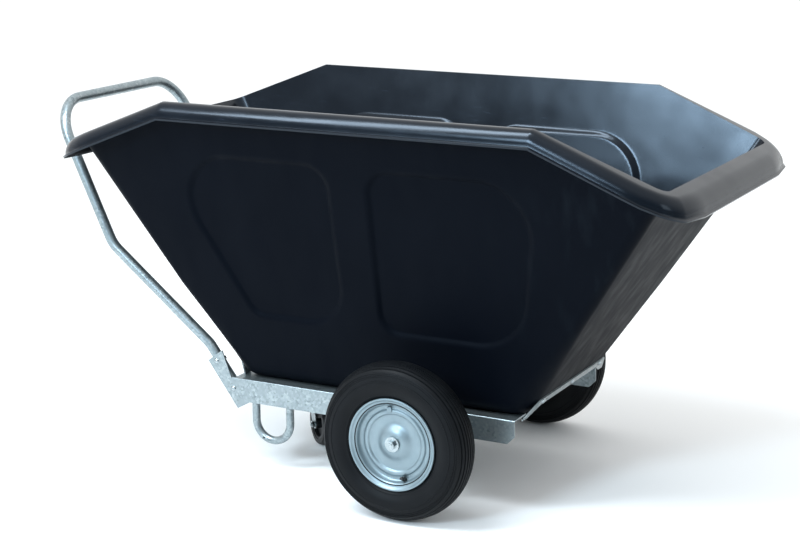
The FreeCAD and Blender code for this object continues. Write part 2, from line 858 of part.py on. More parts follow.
def leaning_box(inset, floor, edge_radius):
    """The solid that fills the tub to above its rim, its floor edge rounded."""
    top = value("rim_height") + OVERRUN
    box = Part.makeLoft([section(floor, inset), section(top, inset)], True, True)
    if edge_radius > 0:
        edges = [edge for edge in box.Edges if abs(edge.BoundBox.ZMax - floor) < TOUCH]
        box = box.makeFillet(edge_radius, edges)
    return box


def rim_line(drop):
    """The rim's line seen from the side, lowered by a drop, from the rear lip to the front lip."""
    front_fall = value("(rim_height - rim_front_height) / (rim_front_x - rim_break_front)")
    rear_fall = value("(rim_height - rim_rear_height) / (rim_break_rear - rim_rear_x)")
    reach = value("lip_reach + lip_flare")
    top = value("rim_height") - drop
    return [
        Vector(value("rim_rear_x") - reach, 0, value("rim_rear_height") - rear_fall * reach - drop),
        Vector(value("rim_break_rear"), 0, top),
        Vector(value("rim_break_front"), 0, top),
        Vector(value("rim_front_x") + reach, 0, value("rim_front_height") - front_fall * reach - drop),
    ]


def under_rim(upper, lower):
    """The wide slab between two copies of the rim's line."""
    half = value("lip_half_width + lip_flare") + OVERRUN
    points = upper + lower[::-1]
    face = Part.Face(Part.makePolygon(points + points[:1]))
    return face.translated(Vector(0, -half, 0)).extrude(Vector(0, 2 * half, 0))


def lip_plan(outset):
    """An upright block over the rim's plan, grown by an outset."""
    plan = rounded_rectangle(
        value("lip_rear_x") - outset, value("lip_front_x") + outset, value("lip_half_width") + outset,
        value("rim_corner_radius") + outset, value("rail_top")
    )
    return Part.Face(plan).extrude(Vector(0, 0, value("rim_height")))


def rim_block(drop, depth, outset, roll):
    """The solid under the rim's line inside the lip's plan, its upper edge rolled over."""
    block = under_rim(rim_line(drop), rim_line(depth)).common(lip_plan(outset))
    sides = [edge for edge in block.Edges if is_upper_edge(edge, drop, outset)]
    return block.makeFillet(roll, sides)


def is_upper_edge(edge, drop, outset):
    """True for an edge of the rim's top that runs along the lip's plan."""
    halfway = (edge.FirstParameter + edge.LastParameter) / 2
    middle = edge.valueAt(halfway)
    line = rim_line(drop)
    for start, finish in zip(line, line[1:]):
        if start.x - 1 <= middle.x <= finish.x + 1:
            share = (middle.x - start.x) / (finish.x - start.x)
            on_top = abs(start.z + share * (finish.z - start.z) - middle.z) < 0.5
            crosses = abs(edge.tangentAt(halfway).y) > 0.9
            inside = abs(middle.y) < value("lip_half_width") + outset - 1
            behind_break = middle.x > value("rim_break_rear") - OVERRUN
            before_break = middle.x < value("rim_break_front") + OVERRUN
            across_top = inside and crosses and behind_break and before_break
            if on_top and not across_top:
                return True
    return False


def panel(corners, growth):
    """A round-cornered outline on the side wall, seen from the side, as a prism across the tub."""
    points = [Vector(x, 0, z) for x, z, radius in corners]
    closed = bent_line(
        [(points[-1] + points[0]) / 2] + points + [(points[-1] + points[0]) / 2],
        [radius for x, z, radius in corners],
    )
    face = Part.Face(closed.makeOffset2D(growth) if growth else closed)
    width = 2 * value("lip_half_width")
    return face.translated(Vector(0, -width / 2, 0)).extrude(Vector(0, width, 0))


# the corners of the sunk panels on each side: X, height above the ground, and the corner's radius
rear_panel = [(-737, 861, 136), (-214, 861, 72), (-214, 416, 118), (-497, 416, 60)]
front_panel = [(-120, 858, 75), (345, 858, 140), (275, 413, 155), (-130, 413, 62)]
wall = value("tub_wall")
depth = value("panel_depth")
floor_edge = value("floor_edge_radius")
outside = leaning_box(0, value("rail_top"), floor_edge)
outside_step = outside.cut(leaning_box(depth, value("rail_top") - OVERRUN, 0))
inside = leaning_box(wall, value("rail_top") + wall, floor_edge - wall)
inside_step = inside.cut(leaning_box(wall + depth, value("rail_top") - OVERRUN, 0))
for corners in (rear_panel, front_panel):
    outside = outside.cut(outside_step.common(panel(corners, 0)))
    inside = inside.cut(inside_step.common(panel(corners, wall)))

lip_depth = value("lip_depth")
lip_roll = value("lip_roll")
below_rim = under_rim(rim_line(0), [Vector(point.x, 0, 0) for point in rim_line(0)])
lip_outer = rim_block(0, lip_depth, 0, lip_roll)
lip_inner = rim_block(wall, lip_depth + OVERRUN, -wall, lip_roll - wall)
flare_band = under_rim(rim_line(lip_depth - wall), rim_line(lip_depth))
flare = flare_band.common(lip_plan(value("lip_flare"))).cut(lip_plan(-wall))
tub_shape = outside.common(below_rim).fuse([lip_outer.cut(lip_inner), flare]).cut(inside)


def wall_point(slope, foot_x, sign, y, height):
    """A point on the outside of the front or rear wall, and the way out of it."""
    angle = math.radians(slope)
    x = foot_x + sign * height / math.tan(angle)
    return Vector(x, y, value("rail_top") + height), Vector(sign * math.sin(angle), 0, -math.cos(angle))


walls = {
    "front": (value("front_slope"), value("floor_front"), 1),
    "rear": (value("rear_slope"), value("floor_rear"), -1),
}
strap_bolt_height = value("strap_low + strap_width / 2")
for slope, foot_x, sign in walls.values():
    for step in (-1, 0, 1):
        rise = strap_bolt_height * math.sin(math.radians(slope))
        spot, out = wall_point(slope, foot_x, sign, step * value("strap_bolt_spread"), rise)
        hole = Part.makeCylinder(value("bolt_hole_radius"), 4 * wall, spot - out * 3 * wall, out)
        tub_shape = tub_shape.cut(hole)
tub = doc.addObject("Part::Feature", "tub")
tub.Shape = tub_shape.removeSplitter()
keep(place(tub, "axle_x"), "tub")

# Straps and their bolts --------------------------------------------------------------------------
# A strap is drawn flat, X across the cart and Y up the wall, then leaned against the wall.


def leaned(end):
    """The turn that lays a flat piece on a wall, its Z pointing out of the wall."""
    slope, foot_x, sign = walls[end]
    angle = math.radians(slope)
    out = Vector(sign * math.sin(angle), 0, -math.cos(angle))
    up = Vector(sign * math.cos(angle), 0, math.sin(angle))
    return Rotation(up.cross(out), up, out, "ZYX")


def on_wall(item, end, y, up_wall, out):
    """Put a leaned piece on a wall: across the cart, up the slope and out from the wall."""
    sign = "1" if end == "front" else "-1"
    slope = end + "_slope * 1 deg"
    reach = "%s * ((%s) * cos(%s) + (%s) * sin(%s))" % (sign, up_wall, slope, out, slope)
    x = "axle_x + floor_%s + %s" % (end, reach)
    z = "rail_top + (%s) * sin(%s) - (%s) * cos(%s)" % (up_wall, slope, out, slope)
    return place(item, x, y, z, leaned(end))


for end in walls:
    inner, outer = end + "_leg_inner", end + "_leg_outer"
    # the foot of the strap is cut level, so that it stands on the rail's flange
    foot = "strap_thickness / tan(%s_slope * 1 deg)" % end
    half = [
        (outer, foot),
        ("strap_half_width", "strap_low + strap_width"),
    ]
    strap = plate(end + "_strap", [[
        ("-(%s)" % inner, foot),
        ("-(strap_leg_top)", "strap_low"),
        ("strap_leg_top", "strap_low"),
        (inner, foot),
        *half,
        ("-strap_half_width", "strap_low + strap_width"),
        ("-(%s)" % outer, foot),
    ]], "strap_thickness", [
        ("-strap_bolt_spread", "strap_low + strap_width / 2", "bolt_hole_radius"),
        ("0", "strap_low + strap_width / 2", "bolt_hole_radius"),
        ("strap_bolt_spread", "strap_low + strap_width / 2", "bolt_hole_radius"),
    ])
    keep(on_wall(strap, end, "0", "0", "0"), end + "_strap")

strap_bolts = []
strap_washers = []
strap_nuts = []
for end in walls:
    for position, y in enumerate(("-strap_bolt_spread", "0", "strap_bolt_spread")):
        tag = "%s_%d" % (end, position)
        length = "strap_thickness + tub_wall + washer_thickness + nut_height + bolt_end_reach"
        middle = "strap_low + strap_width / 2"
        bolt = round_head_bolt(
            "strap_bolt_" + tag, "bolt_radius", length, "bolt_head_radius", "bolt_head_height"
        )
        strap_bolts.append(on_wall(bolt, end, y, middle, "strap_thickness"))
        disc_washer = washer("strap_washer_" + tag, "washer_radius", "washer_thickness", "bolt_hole_radius")
        strap_washers.append(on_wall(disc_washer, end, y, middle, "-tub_wall - washer_thickness"))
        end_nut = nut("strap_nut_" + tag, "nut_flats", "nut_height", "bolt_radius")
        strap_nuts.append(on_wall(end_nut, end, y, middle, "-tub_wall - washer_thickness - nut_height"))
group("strap_bolts", strap_bolts)
group("strap_washers", strap_washers)
group("strap_nuts", strap_nuts)

# Cross member and castor ---------------------------------------------------------------------

crossmember = new_body("castor_crossmember")
pad(crossmember, "crossmember_channel", "XZ_Plane", "0", [[
    ("crossmember_rear", "rail_bottom"),
    ("crossmember_front", "rail_bottom"),
    ("crossmember_front", "rail_bottom + crossmember_depth"),
    ("crossmember_front - crossmember_sheet", "rail_bottom + crossmember_depth"),
    ("crossmember_front - crossmember_sheet", "rail_bottom + crossmember_sheet"),
    ("crossmember_rear + crossmember_sheet", "rail_bottom + crossmember_sheet"),
    ("crossmember_rear + crossmember_sheet", "rail_bottom + crossmember_depth"),
    ("crossmember_rear", "rail_bottom + crossmember_depth"),
]], "2 * rail_inside", midplane=True)
castor_holes = []
for side_x in ("-", "+"):
    for side_y in ("-", "+"):
        castor_holes.append((side_x + "castor_bolt_spread_x / 2", side_y + "castor_bolt_spread_y / 2"))
drill(crossmember, "crossmember_holes", "XY_Plane", [
    ("castor_x " + x, "0 " + y, "bolt_hole_radius") for x, y in castor_holes
])
keep(place(crossmember, "axle_x"), "castor_crossmember")

castor_plate = plate("castor_plate", [[
    ("castor_plate_length / 2", "castor_plate_width / 2"),
    ("-castor_plate_length / 2", "castor_plate_width / 2"),
    ("-castor_plate_length / 2", "-castor_plate_width / 2"),
    ("castor_plate_length / 2", "-castor_plate_width / 2"),
]], "castor_plate_thickness", [("0" + x, "0" + y, "bolt_hole_radius") for x, y in castor_holes])
drill(castor_plate, "castor_plate_kingpin_hole", "XY_Plane", [("0", "0", "kingpin_radius")])
keep(place(castor_plate, "axle_x + castor_x", "0", "castor_plate_bottom"), "castor_plate")

upside_down = Rotation(Vector(1, 0, 0), 180)
castor_bolts = []
castor_nuts = []
for position, (x, y) in enumerate(castor_holes):
    bolt_x, bolt_y = "axle_x + castor_x " + x, "0 " + y
    length = "castor_plate_thickness + crossmember_sheet + nut_height + bolt_end_reach"
    bolt = round_head_bolt(
        "castor_bolt_%d" % position, "bolt_radius", length, "castor_bolt_head", "bolt_head_height"
    )
    castor_bolts.append(place(bolt, bolt_x, bolt_y, "castor_plate_bottom", upside_down))
    top_nut = nut("castor_plate_nut_%d" % position, "nut_flats", "nut_height", "bolt_radius")
    castor_nuts.append(place(top_nut, bolt_x, bolt_y, "rail_bottom + crossmember_sheet"))
group("castor_plate_bolts", castor_bolts)
group("castor_plate_nuts", castor_nuts)

under_fork = "fork_top - fork_sheet - clearance"
kingpin = turned("castor_kingpin", [
    ("0", under_fork + " - kingpin_head_height"),
    ("kingpin_head", under_fork + " - kingpin_head_height"),
    ("kingpin_head", under_fork),
    ("kingpin_radius", under_fork),
    ("kingpin_radius", "rail_bottom"),
    ("0", "rail_bottom"),
])
keep(place(kingpin, "axle_x + castor_x"), "castor_kingpin")

groove = "ball_circle - ball_radius - clearance"
groove_out = "ball_circle + ball_radius + clearance"
race = turned("castor_race", [
    ("kingpin_radius + clearance", "castor_plate_bottom"),
    ("kingpin_radius + clearance", "race_bottom"),
    (groove, "race_bottom"),
    (groove, "fork_top + 2 * ball_radius + 2 * clearance"),
    (groove_out, "fork_top + 2 * ball_radius + 2 * clearance"),
    (groove_out, "race_bottom"),
    ("race_radius", "race_bottom"),
    ("race_radius", "castor_plate_bottom"),
])
keep(place(race, "axle_x + castor_x"), "castor_race")

swivelled = Rotation(Vector(0, 0, 1), value("castor_heading"))


def on_castor(item, trail="0", side="0", z="0", rotation=Rotation()):
    """Put a piece on the castor: back along its trail, out to its side, and up."""
    turn = "castor_heading * 1 deg"
    x = "axle_x + castor_x + (%s) * cos(%s) - (%s) * sin(%s)" % (trail, turn, side, turn)
    y = "(%s) * sin(%s) + (%s) * cos(%s)" % (trail, turn, side, turn)
    return place(item, x, y, z, swivelled * rotation)


balls = []
for number in range(int(value("ball_count"))):
    ball = doc.addObject("Part::Sphere", "castor_ball_%d" % number)
    ball.setExpression("Radius", bind("ball_radius"))
    angle = "%r * 360 deg / ball_count" % float(number)
    x = "axle_x + castor_x + ball_circle * cos(%s)" % angle
    place(ball, x, "ball_circle * sin(%s)" % angle, "fork_top + clearance + ball_radius")
    balls.append(ball)
group("castor_balls", balls)

fork = new_body("castor_fork")
pad(fork, "fork_block", "XZ_Plane", "0", [[
    ("-fork_top_rear", "fork_top"),
    ("-fork_top_rear", "fork_top - fork_shoulder"),
    ("castor_trail - fork_boss", "castor_axle_height"),
    ("castor_trail + fork_boss", "castor_axle_height", "fork_boss * 1.01"),
    ("fork_top_front", "fork_top - fork_shoulder"),
    ("fork_top_front", "fork_top"),
]], "fork_width", midplane=True)
drill(fork, "fork_gap", "YZ_Plane", [], [[
    ("fork_half_gap", "0"),
    ("fork_half_gap", "fork_top - fork_sheet"),
    ("-fork_half_gap", "fork_top - fork_sheet"),
    ("-fork_half_gap", "0"),
]])
drill(fork, "fork_kingpin_hole", "XY_Plane", [("0", "0", "kingpin_radius + clearance")])
drill(fork, "fork_axle_hole", "XZ_Plane", [("castor_trail", "castor_axle_height", "castor_axle_radius")])
keep(on_castor(fork), "castor_fork")

sleeve = washer("castor_sleeve", "castor_sleeve_radius", "2 * fork_half_gap", "castor_axle_radius")


def on_castor_axle(item, side, rotation):
    """Put a piece on the castor wheel's axle, out to one side."""
    return on_castor(item, "castor_trail", side, "castor_axle_height", rotation)


keep(on_castor_axle(sleeve, "-fork_half_gap", ALONG_LEFT), "castor_sleeve")
castor_axle = round_head_bolt("castor_axle_bolt", "castor_axle_radius",
                              "fork_width + castor_nut_height + bolt_end_reach",
                              "castor_nut_flats / 2", "bolt_head_height")
keep(on_castor_axle(castor_axle, "fork_width / 2", ALONG_LEFT), "castor_axle_bolt")
castor_nut = nut("castor_axle_nut", "castor_nut_flats", "castor_nut_height", "castor_axle_radius")
keep(on_castor_axle(castor_nut, "-fork_width / 2", ALONG_RIGHT), "castor_axle_nut")

core_bore = "castor_sleeve_radius + running_clearance"
core_end = "fork_half_gap - clearance"
core_rim = "castor_tyre_width / 2 - 2"
core_web = "castor_tyre_width / 6"
core_hub = "castor_sleeve_radius + core_hub_wall"
core_inside = "castor_core_radius - core_rim_wall"
castor_core = turned("castor_wheel_core", [
    (core_bore, "-(%s)" % core_end),
    (core_hub, "-(%s)" % core_end),
    (core_hub, "-(%s)" % core_web),
    (core_inside, "-(%s)" % core_web),
    (core_inside, "-(%s)" % core_rim),
    ("castor_core_radius", "-(%s)" % core_rim),
    ("castor_core_radius", core_rim),
    (core_inside, core_rim),
    (core_inside, core_web),
    (core_hub, core_web),
    (core_hub, core_end),
    (core_bore, core_end),
])
keep(on_castor_axle(castor_core, "0", ALONG_LEFT), "castor_wheel_core")
tread_edge = "castor_wheel_diameter / 2 - castor_tread_drop"
tread_arc = "((castor_tyre_width / 2) ^ 2 + castor_tread_drop ^ 2) / (2 * castor_tread_drop)"
castor_tyre = turned("castor_tyre", [
    ("castor_core_radius", "-castor_tyre_width / 2"),
    (tread_edge, "-castor_tyre_width / 2"),
    (tread_edge, "castor_tyre_width / 2", tread_arc),
    ("castor_core_radius", "castor_tyre_width / 2"),
])
keep(on_castor_axle(castor_tyre, "0", ALONG_LEFT), "castor_tyre")

# Check and write -----------------------------------------------------------------------------

doc.recompute()
for item in doc.Objects:
    if "Invalid" in item.State or "Error" in item.State:
        raise RuntimeError("%s did not compute: %s" % (item.Label, item.State))
for item in subparts:
    if item.Shape.isNull() or not item.Shape.isValid() or item.Shape.Volume <= 0:
        raise RuntimeError("%s has no good shape" % item.Label)

os.makedirs("parts", exist_ok=True)
for item in subparts:
    item.Shape.exportStep("parts/%s.step" % item.Label)
    print("%-24s %2d solids %12.1f mm3" % (item.Label, len(item.Shape.Solids), item.Shape.Volume))
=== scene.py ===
import math

import bmesh
import bpy
from mathutils import Matrix, Vector


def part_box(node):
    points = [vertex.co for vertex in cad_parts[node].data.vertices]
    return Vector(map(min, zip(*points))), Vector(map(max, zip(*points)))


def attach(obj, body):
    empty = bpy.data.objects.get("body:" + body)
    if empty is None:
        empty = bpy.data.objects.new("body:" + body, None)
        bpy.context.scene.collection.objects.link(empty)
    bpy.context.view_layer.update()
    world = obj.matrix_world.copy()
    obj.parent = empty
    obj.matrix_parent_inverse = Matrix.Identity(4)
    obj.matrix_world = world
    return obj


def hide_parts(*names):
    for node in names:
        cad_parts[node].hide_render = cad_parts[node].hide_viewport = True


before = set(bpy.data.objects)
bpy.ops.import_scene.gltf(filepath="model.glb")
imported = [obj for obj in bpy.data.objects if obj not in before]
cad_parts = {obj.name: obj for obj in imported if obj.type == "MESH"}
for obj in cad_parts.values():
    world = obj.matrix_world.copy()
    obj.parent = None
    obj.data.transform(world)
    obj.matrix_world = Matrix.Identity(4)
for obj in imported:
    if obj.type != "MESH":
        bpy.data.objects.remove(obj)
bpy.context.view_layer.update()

# Camera ------------------------------------------------------------------------------------------
# It stands in front of the cart and to its right, at about eye height, and looks down at the tub
# with a short telephoto lens. Places along X are measured from the main axle.
axle_low, axle_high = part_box("axle")
axle_x = (axle_low.x + axle_high.x) / 2
camera_turn, camera_dip, camera_roll = 0.489, 0.235, -0.007

bpy.ops.object.select_all(action="DESELECT")
bpy.ops.object.camera_add(location=(axle_x + 1.987, -4.141, 1.645))
camera = bpy.context.object
aim = Matrix.Rotation(camera_turn, 4, "Z") @ Matrix.Rotation(math.pi / 2 - camera_dip, 4, "X")
camera.rotation_euler = (aim @ Matrix.Rotation(camera_roll, 4, "Z")).to_euler()
camera.data.lens = 82.1
bpy.context.scene.camera = camera

# Tub ---------------------------------------------------------------------------------------------
# The tub is one skin of black polyethylene, 5 mm thick, thermoformed over a mould: a flat floor,
# four leaning walls with soft corners, two sunk panels on each side, and a rim rolled over outwards.
# It stands on the rails and is bolted through a strap at the foot of its front and rear walls.
wall = 0.005
floor_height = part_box("tub")[0].z + wall
rim_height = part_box("tub")[1].z
floor_rear, floor_front = axle_x - 0.5591, axle_x + 0.2493
top_rear, top_front = axle_x - 1.0300, axle_x + 0.7318
floor_side, top_side = 0.2360, 0.4034
floor_corner, corner_steps = 0.046, 8
# how much of their radius the corners keep above the foot of the walls
corner_keep = 0.35
floor_edge = 0.027
side_cuts, end_cuts, wall_rows = 90, 32, 60
break_front, break_rear = axle_x + 0.344, axle_x - 0.669
ridge_front, ridge_rear, ridge_side = axle_x + 0.677, axle_x - 0.990, 0.409
front_drop, rear_drop = 0.137, 0.125
ridge_corner = 0.085
# the corners of the sunk panels, along X and up Z, each with its radius
rear_panel = [
    (-0.737, 0.861, 0.136), (-0.214, 0.861, 0.072), (-0.214, 0.416, 0.118), (-0.497, 0.416, 0.060),
]
front_panel = [
    (-0.120, 0.858, 0.075), (0.345, 0.858, 0.140), (0.275, 0.413, 0.155), (-0.130, 0.413, 0.062),
]
panel_depth, panel_slope = 0.0075, 0.016
# the rim's roll from its ridge out to the lip: how far out, and how far down
roll_out, roll_down, roll_steps = 0.0295, 0.0345, 9
lip = [(0.0302, 0.0362), (0.0325, 0.0375), (0.0358, 0.0384)]


def begin(name, primitive, **how):
    """Add a primitive with nothing else selected, name it and open it for editing."""
    bpy.ops.object.select_all(action="DESELECT")
    primitive(**how)
    piece = bpy.context.object
    piece.name = piece.data.name = name
    bpy.ops.object.mode_set(mode="EDIT")
    bpy.ops.mesh.select_mode(type="VERT")
    return piece


def pick(kind, test):
    """In edit mode, select only the vertices, edges or faces that pass a test."""
    bpy.ops.mesh.select_mode(type=kind)
    bpy.ops.mesh.select_all(action="DESELECT")
    shape = bmesh.from_edit_mesh(bpy.context.object.data)
    for element in {"VERT": shape.verts, "EDGE": shape.edges, "FACE": shape.faces}[kind]:
        if test(element):
            element.select_set(True)
    bmesh.update_edit_mesh(bpy.context.object.data)


def apply(piece, kind, **settings):
    """Finish a piece with a modifier."""
    modifier = piece.modifiers.new(kind.lower(), kind)
    for name, setting in settings.items():
        setattr(modifier, name, setting)
    bpy.ops.object.modifier_apply(modifier=modifier.name)


def outline(corners):
    """The points round a panel, its corners rounded."""
    points = []
    for index, (x, z, radius) in enumerate(corners):
        corner = Vector((axle_x + x, z))
        before = Vector((axle_x + corners[index - 1][0], corners[index - 1][1])) - corner
        after = corners[(index + 1) % len(corners)]
        after = Vector((axle_x + after[0], after[1])) - corner
        before.normalize()
        after.normalize()
        half = math.acos(max(-1, min(1, before.dot(after)))) / 2
        centre = corner + (before + after).normalized() * radius / math.sin(half)
        start = corner + before * radius / math.tan(half) - centre
        finish = corner + after * radius / math.tan(half) - centre
        sweep = start.angle_signed(finish)
        for step in range(13):
            turn = Matrix.Rotation(-sweep * step / 12, 2)
            points.append(centre + turn @ start)
    return points


def depth_inside(points, x, z):
    """How far a point lies inside an outline, below zero when it is outside."""
    spot = Vector((x, z))
    nearest = 1.0
    inside = False
    for first, second in zip(points, points[1:] + points[:1]):
        edge = second - first
        share = max(0, min(1, (spot - first).dot(edge) / max(edge.length_squared, 1e-12)))
        nearest = min(nearest, (spot - first - edge * share).length)
        if (first.y > z) != (second.y > z):
            if x < first.x + (z - first.y) / (second.y - first.y) * edge.x:
                inside = not inside
    return nearest if inside else -nearest


panels = [outline(rear_panel), outline(front_panel)]
panel_reach = 0.03


def panel_share(spot):
    """The depth inside the nearest panel of a point of a side wall, or nothing far from both."""
    if abs(spot.y) < floor_side:
        return -1.0
    best = -1.0
    for points in panels:
        low_x, high_x = min(p.x for p in points), max(p.x for p in points)
        low_z, high_z = min(p.y for p in points), max(p.y for p in points)
        near_x = low_x - panel_reach < spot.x < high_x + panel_reach
        if near_x and low_z - panel_reach < spot.z < high_z + panel_reach:
            best = max(best, depth_inside(points, spot.x, spot.z))
    return best


def rim_line(x):
    """The height of the rim's ridge, level in the middle and falling to both ends."""
    ahead = max(0, x - break_front) * front_drop / (ridge_front - break_front)
    behind = max(0, break_rear - x) * rear_drop / (break_rear - ridge_rear)
    return rim_height - ahead - behind


floor_middle, top_middle = (floor_rear + floor_front) / 2, (top_rear + top_front) / 2
floor_half, top_half = (floor_front - floor_rear) / 2, (top_front - top_rear) / 2
tub = begin("tub_shell", bpy.ops.mesh.primitive_plane_add, size=2)
bpy.ops.transform.resize(value=(floor_half, floor_side, 1))
bpy.ops.transform.translate(value=(floor_middle, 0, floor_height))
bpy.ops.mesh.bevel(offset=floor_corner, segments=corner_steps, affect="VERTICES")
bpy.ops.mesh.select_all(action="SELECT")
bpy.ops.mesh.delete(type="ONLY_FACE")
pick("EDGE", lambda edge: edge.calc_length() > floor_half)
bpy.ops.mesh.subdivide(number_cuts=side_cuts)
pick("EDGE", lambda edge: edge.calc_length() > floor_side)
bpy.ops.mesh.subdivide(number_cuts=end_cuts)
pick("EDGE", lambda edge: True)
rise = rim_height - floor_height
shift = (top_middle - floor_middle, 0, rise)
bpy.ops.mesh.extrude_edges_move(TRANSFORM_OT_translate={"value": shift})
spread = (top_half / floor_half, top_side / floor_side, 1)
bpy.ops.transform.resize(value=spread, center_override=(top_middle, 0, rim_height))
pick("EDGE", lambda edge: max(v.co.z for v in edge.verts) < floor_height + wall)
bpy.ops.mesh.edge_face_add()
bpy.ops.mesh.select_all(action="SELECT")
bpy.ops.mesh.normals_make_consistent(inside=False)
if max(bmesh.from_edit_mesh(tub.data).faces, key=lambda face: len(face.verts)).normal.z < 0:
    bpy.ops.mesh.flip_normals()
pick("EDGE", lambda edge: max(v.co.z for v in edge.verts) < floor_height + wall)
bpy.ops.mesh.bevel(offset=floor_edge, segments=6, affect="EDGES", clamp_overlap=False)
pick("EDGE", lambda edge: abs(edge.verts[0].co.z - edge.verts[1].co.z) > rise / 2)
bpy.ops.mesh.subdivide(number_cuts=wall_rows)
shape = bmesh.from_edit_mesh(tub.data)
for vertex in shape.verts:
    share = (vertex.co.z - floor_height) / rise
    keep = 1 - (1 - corner_keep) * max(0, min(1, (share - 0.08) / 0.25))
    middle = floor_middle + share * (top_middle - floor_middle)
    reach_x = floor_half + share * (top_half - floor_half)
    reach_y = floor_side + share * (top_side - floor_side)
    round_x, round_y = floor_corner * reach_x / floor_half, floor_corner * reach_y / floor_side
    along, across = vertex.co.x - middle, vertex.co.y
    into_x, into_y = (reach_x - abs(along)) / round_x, (reach_y - abs(across)) / round_y
    if keep < 1 and into_x < 1.001 and into_y < 1.001:
        vertex.co.x = middle + math.copysign(reach_x - keep * round_x * into_x, along)
        vertex.co.y = math.copysign(reach_y - keep * round_y * into_y, across)
bmesh.update_edit_mesh(tub.data)
pick("FACE", lambda face: abs(panel_share(face.calc_center_median()) - panel_slope / 2) < panel_slope)
bpy.ops.mesh.subdivide(number_cuts=2)
rim_ends = ((break_front, ridge_front, front_drop), (break_rear, ridge_rear, rear_drop))
for break_x, ridge_x, drop in rim_ends:
    bpy.ops.mesh.select_all(action="SELECT")
    above = Vector((drop * (1 if ridge_x > break_x else -1), 0, abs(ridge_x - break_x))).normalized()
    bpy.ops.mesh.bisect(plane_co=(break_x, 0, rim_height), plane_no=above, clear_outer=True)

bpy.ops.mesh.select_mode(type="EDGE")
bpy.ops.mesh.select_non_manifold(
    extend=False, use_wire=False, use_multi_face=False, use_non_contiguous=False, use_verts=False
)
roll = [(0, 0)]
for step in range(1, roll_steps + 1):
    angle = math.pi / 2 * step / roll_steps
    roll.append((roll_out * math.sin(angle), roll_down * (1 - math.cos(angle))))
for out, down in roll + lip:
    bpy.ops.mesh.extrude_edges_move()
    shape = bmesh.from_edit_mesh(tub.data)
    for vertex in shape.verts:
        if vertex.select:
            inner_x = min(max(vertex.co.x, ridge_rear + ridge_corner), ridge_front - ridge_corner)
            inner_y = min(max(vertex.co.y, ridge_corner - ridge_side), ridge_side - ridge_corner)
            away = Vector((vertex.co.x - inner_x, vertex.co.y - inner_y, 0)).normalized()
            vertex.co = Vector((inner_x, inner_y, 0)) + away * (ridge_corner + out)
            vertex.co.z = rim_line(vertex.co.x) - down
    bmesh.update_edit_mesh(tub.data)
bpy.ops.mesh.select_all(action="SELECT")
bpy.ops.mesh.remove_doubles(threshold=0.00002)
bpy.ops.object.mode_set(mode="OBJECT")

sunk = tub.vertex_groups.new(name="sunk_panels")
for vertex in tub.data.vertices:
    share = max(0.0, min(1.0, panel_share(vertex.co) / panel_slope))
    if share > 0:
        sunk.add([vertex.index], share * share * (3 - 2 * share), "REPLACE")
apply(tub, "DISPLACE", strength=panel_depth, mid_level=0.0, vertex_group="sunk_panels")
# one empty slot for the inside and one for the outside, filled once the materials are made
tub.data.materials.append(None)
tub.data.materials.append(None)
apply(tub, "SOLIDIFY", thickness=wall, offset=-1, use_even_offset=False, material_offset=1)
bpy.ops.object.shade_smooth_by_angle(angle=math.radians(38))


def linear(code):
    """The linear colour, with alpha, of an sRGB hex value."""
    parts = [int(code[place:place + 2], 16) / 255 for place in (0, 2, 4)]
    return [part / 12.92 if part <= 0.04045 else ((part + 0.055) / 1.055) ** 2.4 for part in parts] + [1]


def new_material(name, **sockets):
    """A material with its shader's own sockets set, as (material, node tree, shader)."""
    material = bpy.data.materials.new(name)
    material.use_nodes = True
    shader = material.node_tree.nodes["Principled BSDF"]
    for socket, setting in sockets.items():
        shader.inputs[socket.replace("_", " ")].default_value = setting
    return material, material.node_tree, shader


def add_node(tree, kind, inputs, **settings):
    """Add a node; each input is a number, a colour, or the output of another node."""
    node = tree.nodes.new("ShaderNode" + kind)
    for name, setting in settings.items():
        setattr(node, name, setting)
    for name, source in inputs.items():
        if isinstance(source, bpy.types.NodeSocket):
            tree.links.new(source, node.inputs[name])
        else:
            node.inputs[name].default_value = source
    return node


def mix_colours(tree, share, first, second):
    """The mix of two colours, each an sRGB hex value or the output of another node."""
    sources = {0: share}
    for place, source in ((6, first), (7, second)):
        sources[place] = linear(source) if isinstance(source, str) else source
    return add_node(tree, "Mix", sources, data_type="RGBA").outputs[2]


def wire(tree, shader, colour, rough, bump):
    """Link a colour, a roughness and a bump to a shader."""
    tree.links.new(colour, shader.inputs["Base Color"])
    tree.links.new(rough.outputs[0], shader.inputs["Roughness"])
    tree.links.new(bump.outputs[0], shader.inputs["Normal"])


# Thermoformed polyethylene: the inside and the rim, which faced the warm plate, came out glossy,
# with a long soft waviness and fine scratches from use.
cool = (0.76, 0.87, 1.0, 1.0)
gloss, tree, shader = new_material(
    "thermoformed_polyethylene_gloss", Specular_IOR_Level=0.30, Specular_Tint=cool
)
spot = add_node(tree, "TexCoord", {}).outputs["Object"]
cloud = add_node(tree, "TexNoise", {"Vector": spot, "Scale": 1 / 0.16, "Detail": 4.0})
stretched = add_node(tree, "Mapping", {"Vector": spot, "Scale": (1.0, 1.0, 9.0)})
streak = add_node(tree, "TexNoise", {"Vector": stretched.outputs[0], "Scale": 1 / 0.05, "Detail": 6.0})
wear_and_highlight_streaks = add_node(tree, "MapRange", {"Value": streak.outputs[0], "From Min": 0.60, "From Max": 0.78})
tone = mix_colours(tree, cloud.outputs[0], "02050a", "050a12")
colour = mix_colours(tree, wear_and_highlight_streaks.outputs[0], tone, "121820")
rough = add_node(tree, "MapRange", {"Value": cloud.outputs[0], "From Min": 0.3, "From Max": 0.7,
                                    "To Min": 0.16, "To Max": 0.27})
wave = add_node(tree, "TexNoise", {"Vector": spot, "Scale": 1 / 0.11, "Detail": 1.0})
grain = add_node(tree, "TexNoise", {"Vector": spot, "Scale": 1 / 0.0025, "Detail": 2.0})
